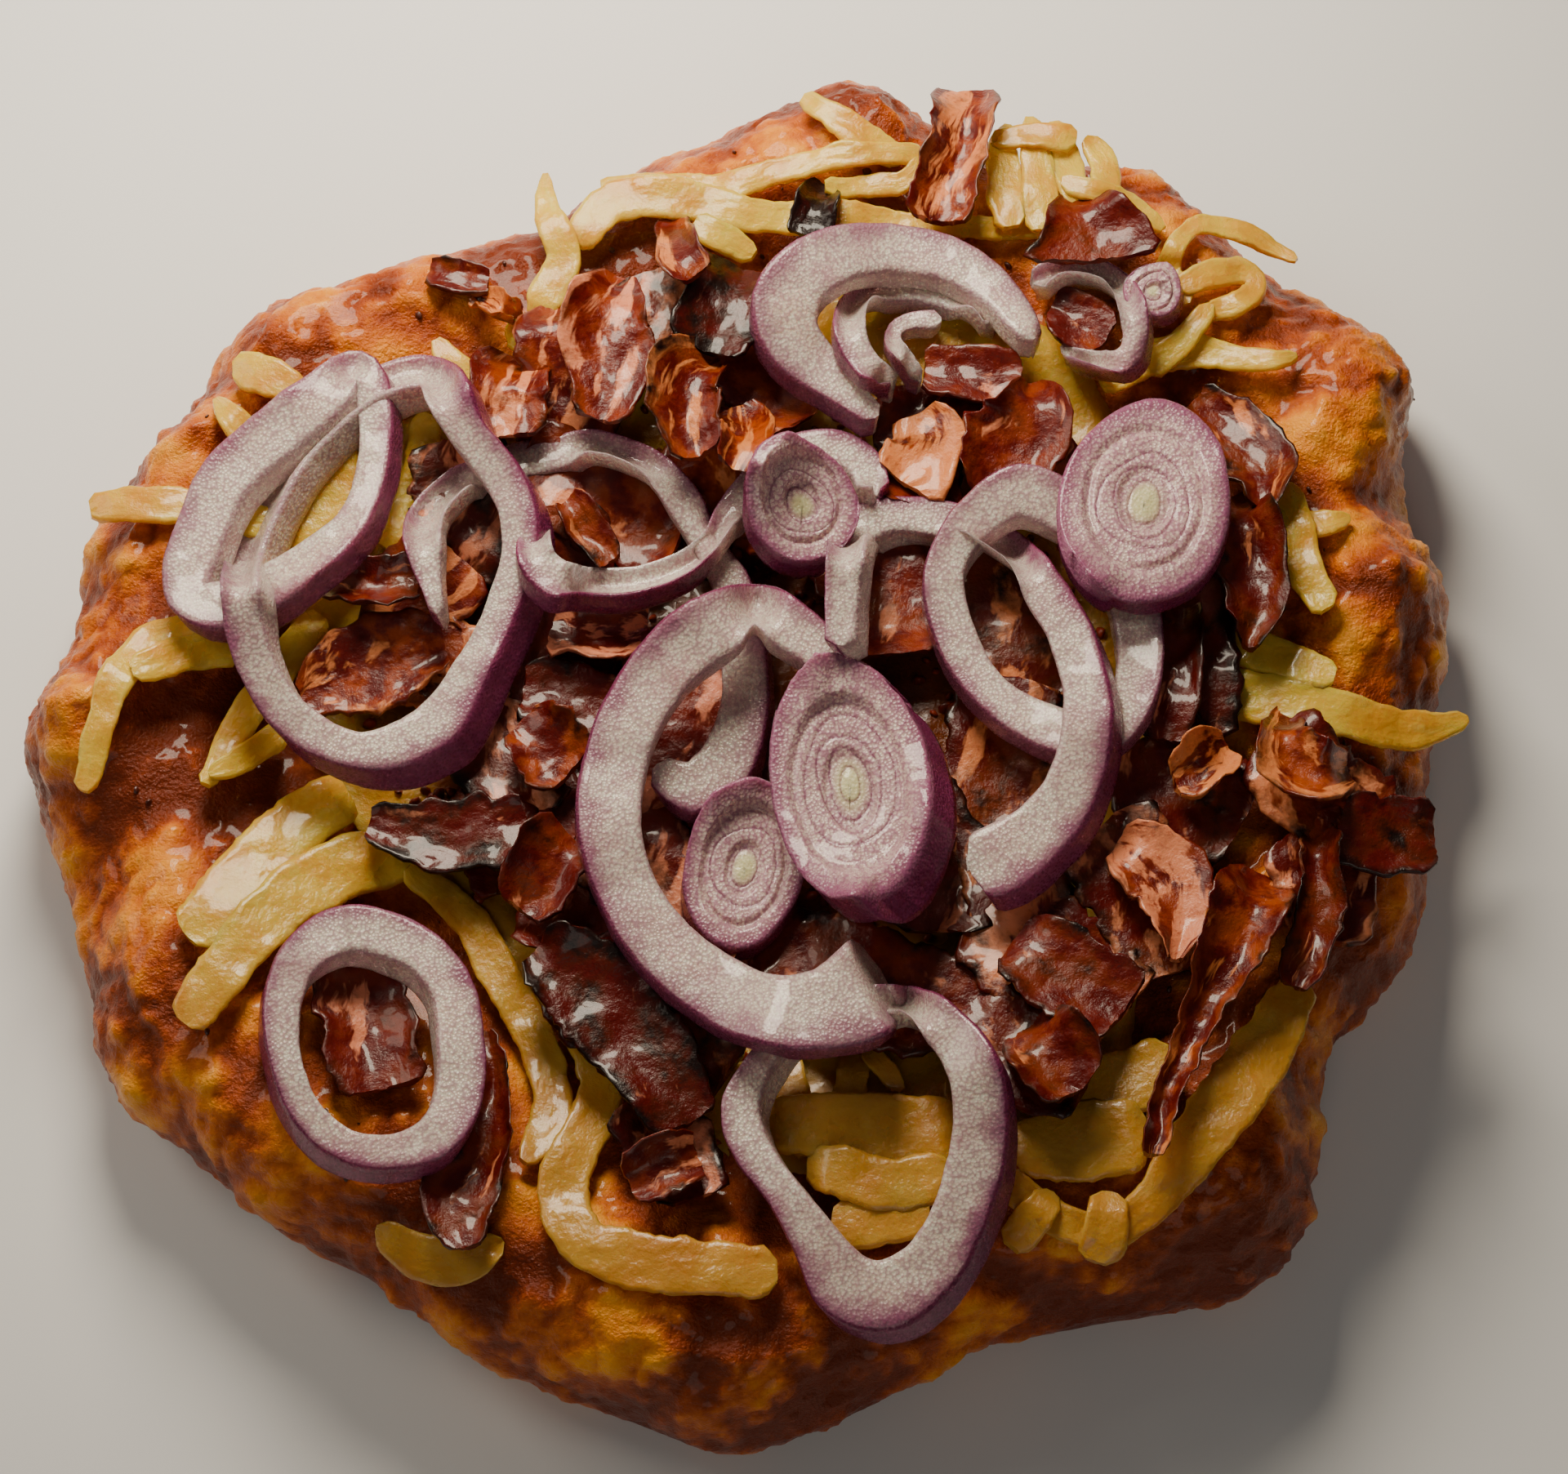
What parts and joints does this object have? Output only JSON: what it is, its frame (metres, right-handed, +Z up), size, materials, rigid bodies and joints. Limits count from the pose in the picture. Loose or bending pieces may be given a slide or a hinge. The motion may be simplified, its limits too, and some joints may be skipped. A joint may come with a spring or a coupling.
{
  "type": "fried flatbread",
  "caption": "Round puffed fried flatbread with an uneven thick rim, topped with grated cheese, fried bacon pieces and red onion rings.",
  "frame": {"origin": "on the flat underside of the bread, under the middle of the whole food's box", "axes": "+Z up, -Y towards the viewer of the picture, +X to the right in it"},
  "size_m": [0.178, 0.1832, 0.041],
  "materials": {
    "crust": "fried crust, slightly oily",
    "cheese": "soft, half melted",
    "bacon": "fried, greasy",
    "onion": "wet cut flesh"
  },
  "bodies": {
    "root": {"bacon_bed": "bacon", "bacon_bit_far_left": "bacon", "bacon_burnt_bit": "bacon", "bacon_centre_pale": "bacon", "bacon_centre_under": "bacon", "bacon_char_top": "bacon", "bacon_clear_fat": "bacon", "bacon_curl_middle": "bacon", "bacon_curl_right": "bacon", "bacon_dark_column": "bacon", "bacon_fat_far_left": "bacon", "bacon_front_bit": "bacon", "bacon_front_dark": "bacon", "bacon_front_right": "bacon", "bacon_front_tail": "bacon", "bacon_in_front_ring": "bacon", "bacon_in_small_ring": "bacon", "bacon_left_centre": "bacon", "bacon_left_low": "bacon", "bacon_left_ring_low": "bacon", "bacon_left_ring_top": "bacon", "bacon_left_top": "bacon", "bacon_long_twist": "bacon", "bacon_orange_left": "bacon", "bacon_orange_middle": "bacon", "bacon_orange_tip": "bacon", "bacon_pale_middle": "bacon", "bacon_point_top": "bacon", "bacon_pointed_right": "bacon", "bacon_right_dark": "bacon", "bacon_right_edge": "bacon", "bacon_right_top": "bacon", "bacon_right_upper": "bacon", "bacon_round_front": "bacon", "bacon_strip_right": "bacon", "bacon_strip_top": "bacon", "bacon_under_arch": "bacon", "bacon_under_left": "bacon", "bacon_upright_chip": "bacon", "bread": "crust", "cheese_shred_front": "cheese", "cheese_shreds": "cheese", "onion_arc_top_inner": "onion", "onion_arc_top_middle": "onion", "onion_arc_top_outer": "onion", "onion_bit_top_right": "onion", "onion_ring_arch": "onion", "onion_ring_big_left": "onion", "onion_ring_centre": "onion", "onion_ring_front": "onion", "onion_ring_front_left": "onion", "onion_ring_left_under": "onion", "onion_ring_right": "onion", "onion_ring_right_under": "onion", "onion_ring_small_top": "onion", "onion_ring_twisted": "onion", "onion_slice_centre": "onion", "onion_slice_right": "onion", "onion_slice_under_centre": "onion", "onion_slice_under_twist": "onion"}
  },
  "joints": []
}
